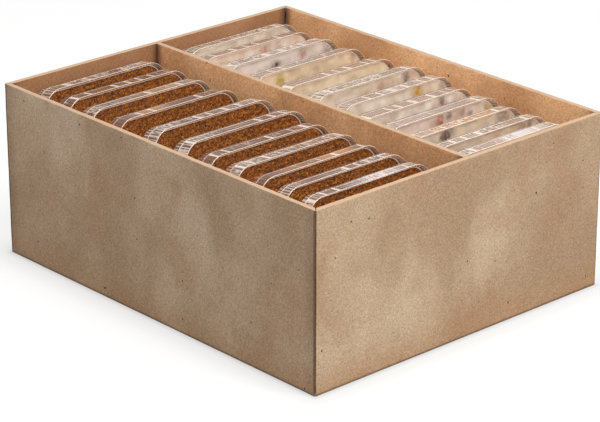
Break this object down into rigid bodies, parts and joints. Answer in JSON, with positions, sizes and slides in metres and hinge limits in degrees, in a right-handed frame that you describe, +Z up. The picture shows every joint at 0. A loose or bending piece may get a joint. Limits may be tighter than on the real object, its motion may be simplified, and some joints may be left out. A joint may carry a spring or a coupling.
{
  "type": "culture dish filing box",
  "caption": "Open-topped fibreboard box with a lengthwise divider, holding two rows of clear square culture dishes filed on edge in slotted rack combs.",
  "frame": {"origin": "middle of the underside of the box", "axes": "+X is the filing direction, in which the faces of the dishes look; +Y runs from the granular row to the agar row; +Z is up, out of the open top"},
  "size_m": [0.264, 0.218, 0.105],
  "materials": {
    "fibreboard": "raw kraft-brown fibreboard, fine woven grain, faint stains",
    "clear_plastic": "clear polystyrene, finely ribbed skirt",
    "granular_medium": "brown granular medium cast in a clear base",
    "agar_medium": "cream agar with sparse mould colonies, cast in a clear base"
  },
  "bodies": {
    "box": {"floor_panel": "fibreboard", "soil_side_wall": "fibreboard", "culture_side_wall": "fibreboard", "back_end_wall": "fibreboard", "front_end_wall": "fibreboard", "divider_panel": "fibreboard", "soil_rack_comb_left": "fibreboard", "soil_rack_comb_right": "fibreboard", "culture_rack_comb_left": "fibreboard", "culture_rack_comb_right": "fibreboard"},
    "soil_dish_01": {"soil_dish_01_base": "granular_medium", "soil_dish_01_lid": "clear_plastic"},
    "soil_dish_02": {"soil_dish_02_base": "granular_medium", "soil_dish_02_lid": "clear_plastic"},
    "soil_dish_03": {"soil_dish_03_base": "granular_medium", "soil_dish_03_lid": "clear_plastic"},
    "soil_dish_04": {"soil_dish_04_base": "granular_medium", "soil_dish_04_lid": "clear_plastic"},
    "soil_dish_05": {"soil_dish_05_base": "granular_medium", "soil_dish_05_lid": "clear_plastic"},
    "soil_dish_06": {"soil_dish_06_base": "granular_medium", "soil_dish_06_lid": "clear_plastic"},
    "soil_dish_07": {"soil_dish_07_base": "granular_medium", "soil_dish_07_lid": "clear_plastic"},
    "soil_dish_08": {"soil_dish_08_base": "granular_medium", "soil_dish_08_lid": "clear_plastic"},
    "soil_dish_09": {"soil_dish_09_base": "granular_medium", "soil_dish_09_lid": "clear_plastic"},
    "soil_dish_10": {"soil_dish_10_base": "granular_medium", "soil_dish_10_lid": "clear_plastic"},
    "soil_dish_11": {"soil_dish_11_base": "granular_medium", "soil_dish_11_lid": "clear_plastic"},
    "culture_dish_01": {"culture_dish_01_base": "agar_medium", "culture_dish_01_lid": "clear_plastic"},
    "culture_dish_02": {"culture_dish_02_base": "agar_medium", "culture_dish_02_lid": "clear_plastic"},
    "culture_dish_03": {"culture_dish_03_base": "agar_medium", "culture_dish_03_lid": "clear_plastic"},
    "culture_dish_04": {"culture_dish_04_base": "agar_medium", "culture_dish_04_lid": "clear_plastic"},
    "culture_dish_05": {"culture_dish_05_base": "agar_medium", "culture_dish_05_lid": "clear_plastic"},
    "culture_dish_06": {"culture_dish_06_base": "agar_medium", "culture_dish_06_lid": "clear_plastic"},
    "culture_dish_07": {"culture_dish_07_base": "agar_medium", "culture_dish_07_lid": "clear_plastic"},
    "culture_dish_08": {"culture_dish_08_base": "agar_medium", "culture_dish_08_lid": "clear_plastic"},
    "culture_dish_09": {"culture_dish_09_base": "agar_medium", "culture_dish_09_lid": "clear_plastic"},
    "culture_dish_10": {"culture_dish_10_base": "agar_medium", "culture_dish_10_lid": "clear_plastic"},
    "culture_dish_11": {"culture_dish_11_base": "agar_medium", "culture_dish_11_lid": "clear_plastic"},
    "culture_dish_12": {"culture_dish_12_base": "agar_medium", "culture_dish_12_lid": "clear_plastic"}
  },
  "joints": [
    {"name": "soil_dish_01_lift", "type": "slide", "parent": "box", "child": "soil_dish_01", "axis": [-0.165, 0, 0.9863], "range_m": [0, 0.1]},
    {"name": "soil_dish_02_lift", "type": "slide", "parent": "box", "child": "soil_dish_02", "axis": [-0.1564, 0, 0.9877], "range_m": [0, 0.1]},
    {"name": "soil_dish_03_lift", "type": "slide", "parent": "box", "child": "soil_dish_03", "axis": [-0.1564, 0, 0.9877], "range_m": [0, 0.1]},
    {"name": "soil_dish_04_lift", "type": "slide", "parent": "box", "child": "soil_dish_04", "axis": [-0.1564, 0, 0.9877], "range_m": [0, 0.1]},
    {"name": "soil_dish_05_lift", "type": "slide", "parent": "box", "child": "soil_dish_05", "axis": [-0.1564, 0, 0.9877], "range_m": [0, 0.1]},
    {"name": "soil_dish_06_lift", "type": "slide", "parent": "box", "child": "soil_dish_06", "axis": [-0.1564, 0, 0.9877], "range_m": [0, 0.1]},
    {"name": "soil_dish_07_lift", "type": "slide", "parent": "box", "child": "soil_dish_07", "axis": [-0.1478, 0, 0.989], "range_m": [0, 0.1]},
    {"name": "soil_dish_08_lift", "type": "slide", "parent": "box", "child": "soil_dish_08", "axis": [-0.1478, 0, 0.989], "range_m": [0, 0.1]},
    {"name": "soil_dish_09_lift", "type": "slide", "parent": "box", "child": "soil_dish_09", "axis": [-0.1392, 0, 0.9903], "range_m": [0, 0.1]},
    {"name": "soil_dish_10_lift", "type": "slide", "parent": "box", "child": "soil_dish_10", "axis": [-0.1305, 0, 0.9914], "range_m": [0, 0.1]},
    {"name": "soil_dish_11_lift", "type": "slide", "parent": "box", "child": "soil_dish_11", "axis": [-0.1219, 0, 0.9925], "range_m": [0, 0.1]},
    {"name": "culture_dish_01_lift", "type": "slide", "parent": "box", "child": "culture_dish_01", "axis": [-0.165, 0, 0.9863], "range_m": [0, 0.1]},
    {"name": "culture_dish_02_lift", "type": "slide", "parent": "box", "child": "culture_dish_02", "axis": [-0.165, 0, 0.9863], "range_m": [0, 0.1]},
    {"name": "culture_dish_03_lift", "type": "slide", "parent": "box", "child": "culture_dish_03", "axis": [-0.1564, 0, 0.9877], "range_m": [0, 0.1]},
    {"name": "culture_dish_04_lift", "type": "slide", "parent": "box", "child": "culture_dish_04", "axis": [-0.1564, 0, 0.9877], "range_m": [0, 0.1]},
    {"name": "culture_dish_05_lift", "type": "slide", "parent": "box", "child": "culture_dish_05", "axis": [-0.1478, 0, 0.989], "range_m": [0, 0.1]},
    {"name": "culture_dish_06_lift", "type": "slide", "parent": "box", "child": "culture_dish_06", "axis": [-0.1478, 0, 0.989], "range_m": [0, 0.1]},
    {"name": "culture_dish_07_lift", "type": "slide", "parent": "box", "child": "culture_dish_07", "axis": [-0.1392, 0, 0.9903], "range_m": [0, 0.1]},
    {"name": "culture_dish_08_lift", "type": "slide", "parent": "box", "child": "culture_dish_08", "axis": [-0.1305, 0, 0.9914], "range_m": [0, 0.1]},
    {"name": "culture_dish_09_lift", "type": "slide", "parent": "box", "child": "culture_dish_09", "axis": [-0.1219, 0, 0.9925], "range_m": [0, 0.1]},
    {"name": "culture_dish_10_lift", "type": "slide", "parent": "box", "child": "culture_dish_10", "axis": [-0.1045, 0, 0.9945], "range_m": [0, 0.1]},
    {"name": "culture_dish_11_lift", "type": "slide", "parent": "box", "child": "culture_dish_11", "axis": [-0.0872, 0, 0.9962], "range_m": [0, 0.1]},
    {"name": "culture_dish_12_lift", "type": "slide", "parent": "box", "child": "culture_dish_12", "axis": [-0.0698, 0, 0.9976], "range_m": [0, 0.1]}
  ]
}
